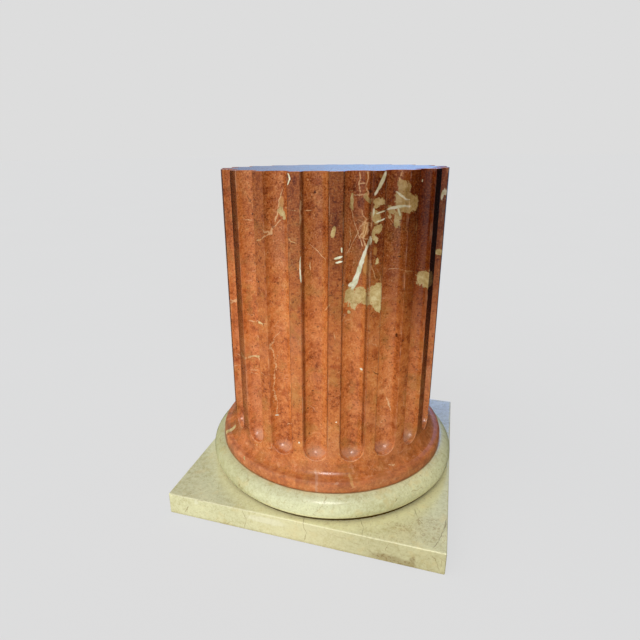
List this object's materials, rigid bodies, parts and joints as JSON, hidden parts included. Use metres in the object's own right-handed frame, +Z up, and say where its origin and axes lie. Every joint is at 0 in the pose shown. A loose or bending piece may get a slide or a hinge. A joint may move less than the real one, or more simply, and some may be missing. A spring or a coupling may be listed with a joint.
{
  "type": "marble pedestal column",
  "caption": "Low fluted marble pedestal column with a spreading foot, standing on a half-round torus and a square plinth",
  "frame": {"origin": "middle of the plinth's underside", "axes": "+Z up along the column's axis; X and Y square to the plinth's faces, with -Y its front"},
  "size_m": [0.3498, 0.3498, 0.4322],
  "materials": {
    "red_marble": "polished orange-red marble with cream veins and patches",
    "cream_torus_marble": "polished pale cream marble",
    "cream_plinth_marble": "polished pale cream marble with fine veins"
  },
  "bodies": {
    "root": {"fluted_shaft": "red_marble", "torus": "cream_torus_marble", "square_plinth": "cream_plinth_marble"}
  },
  "joints": []
}
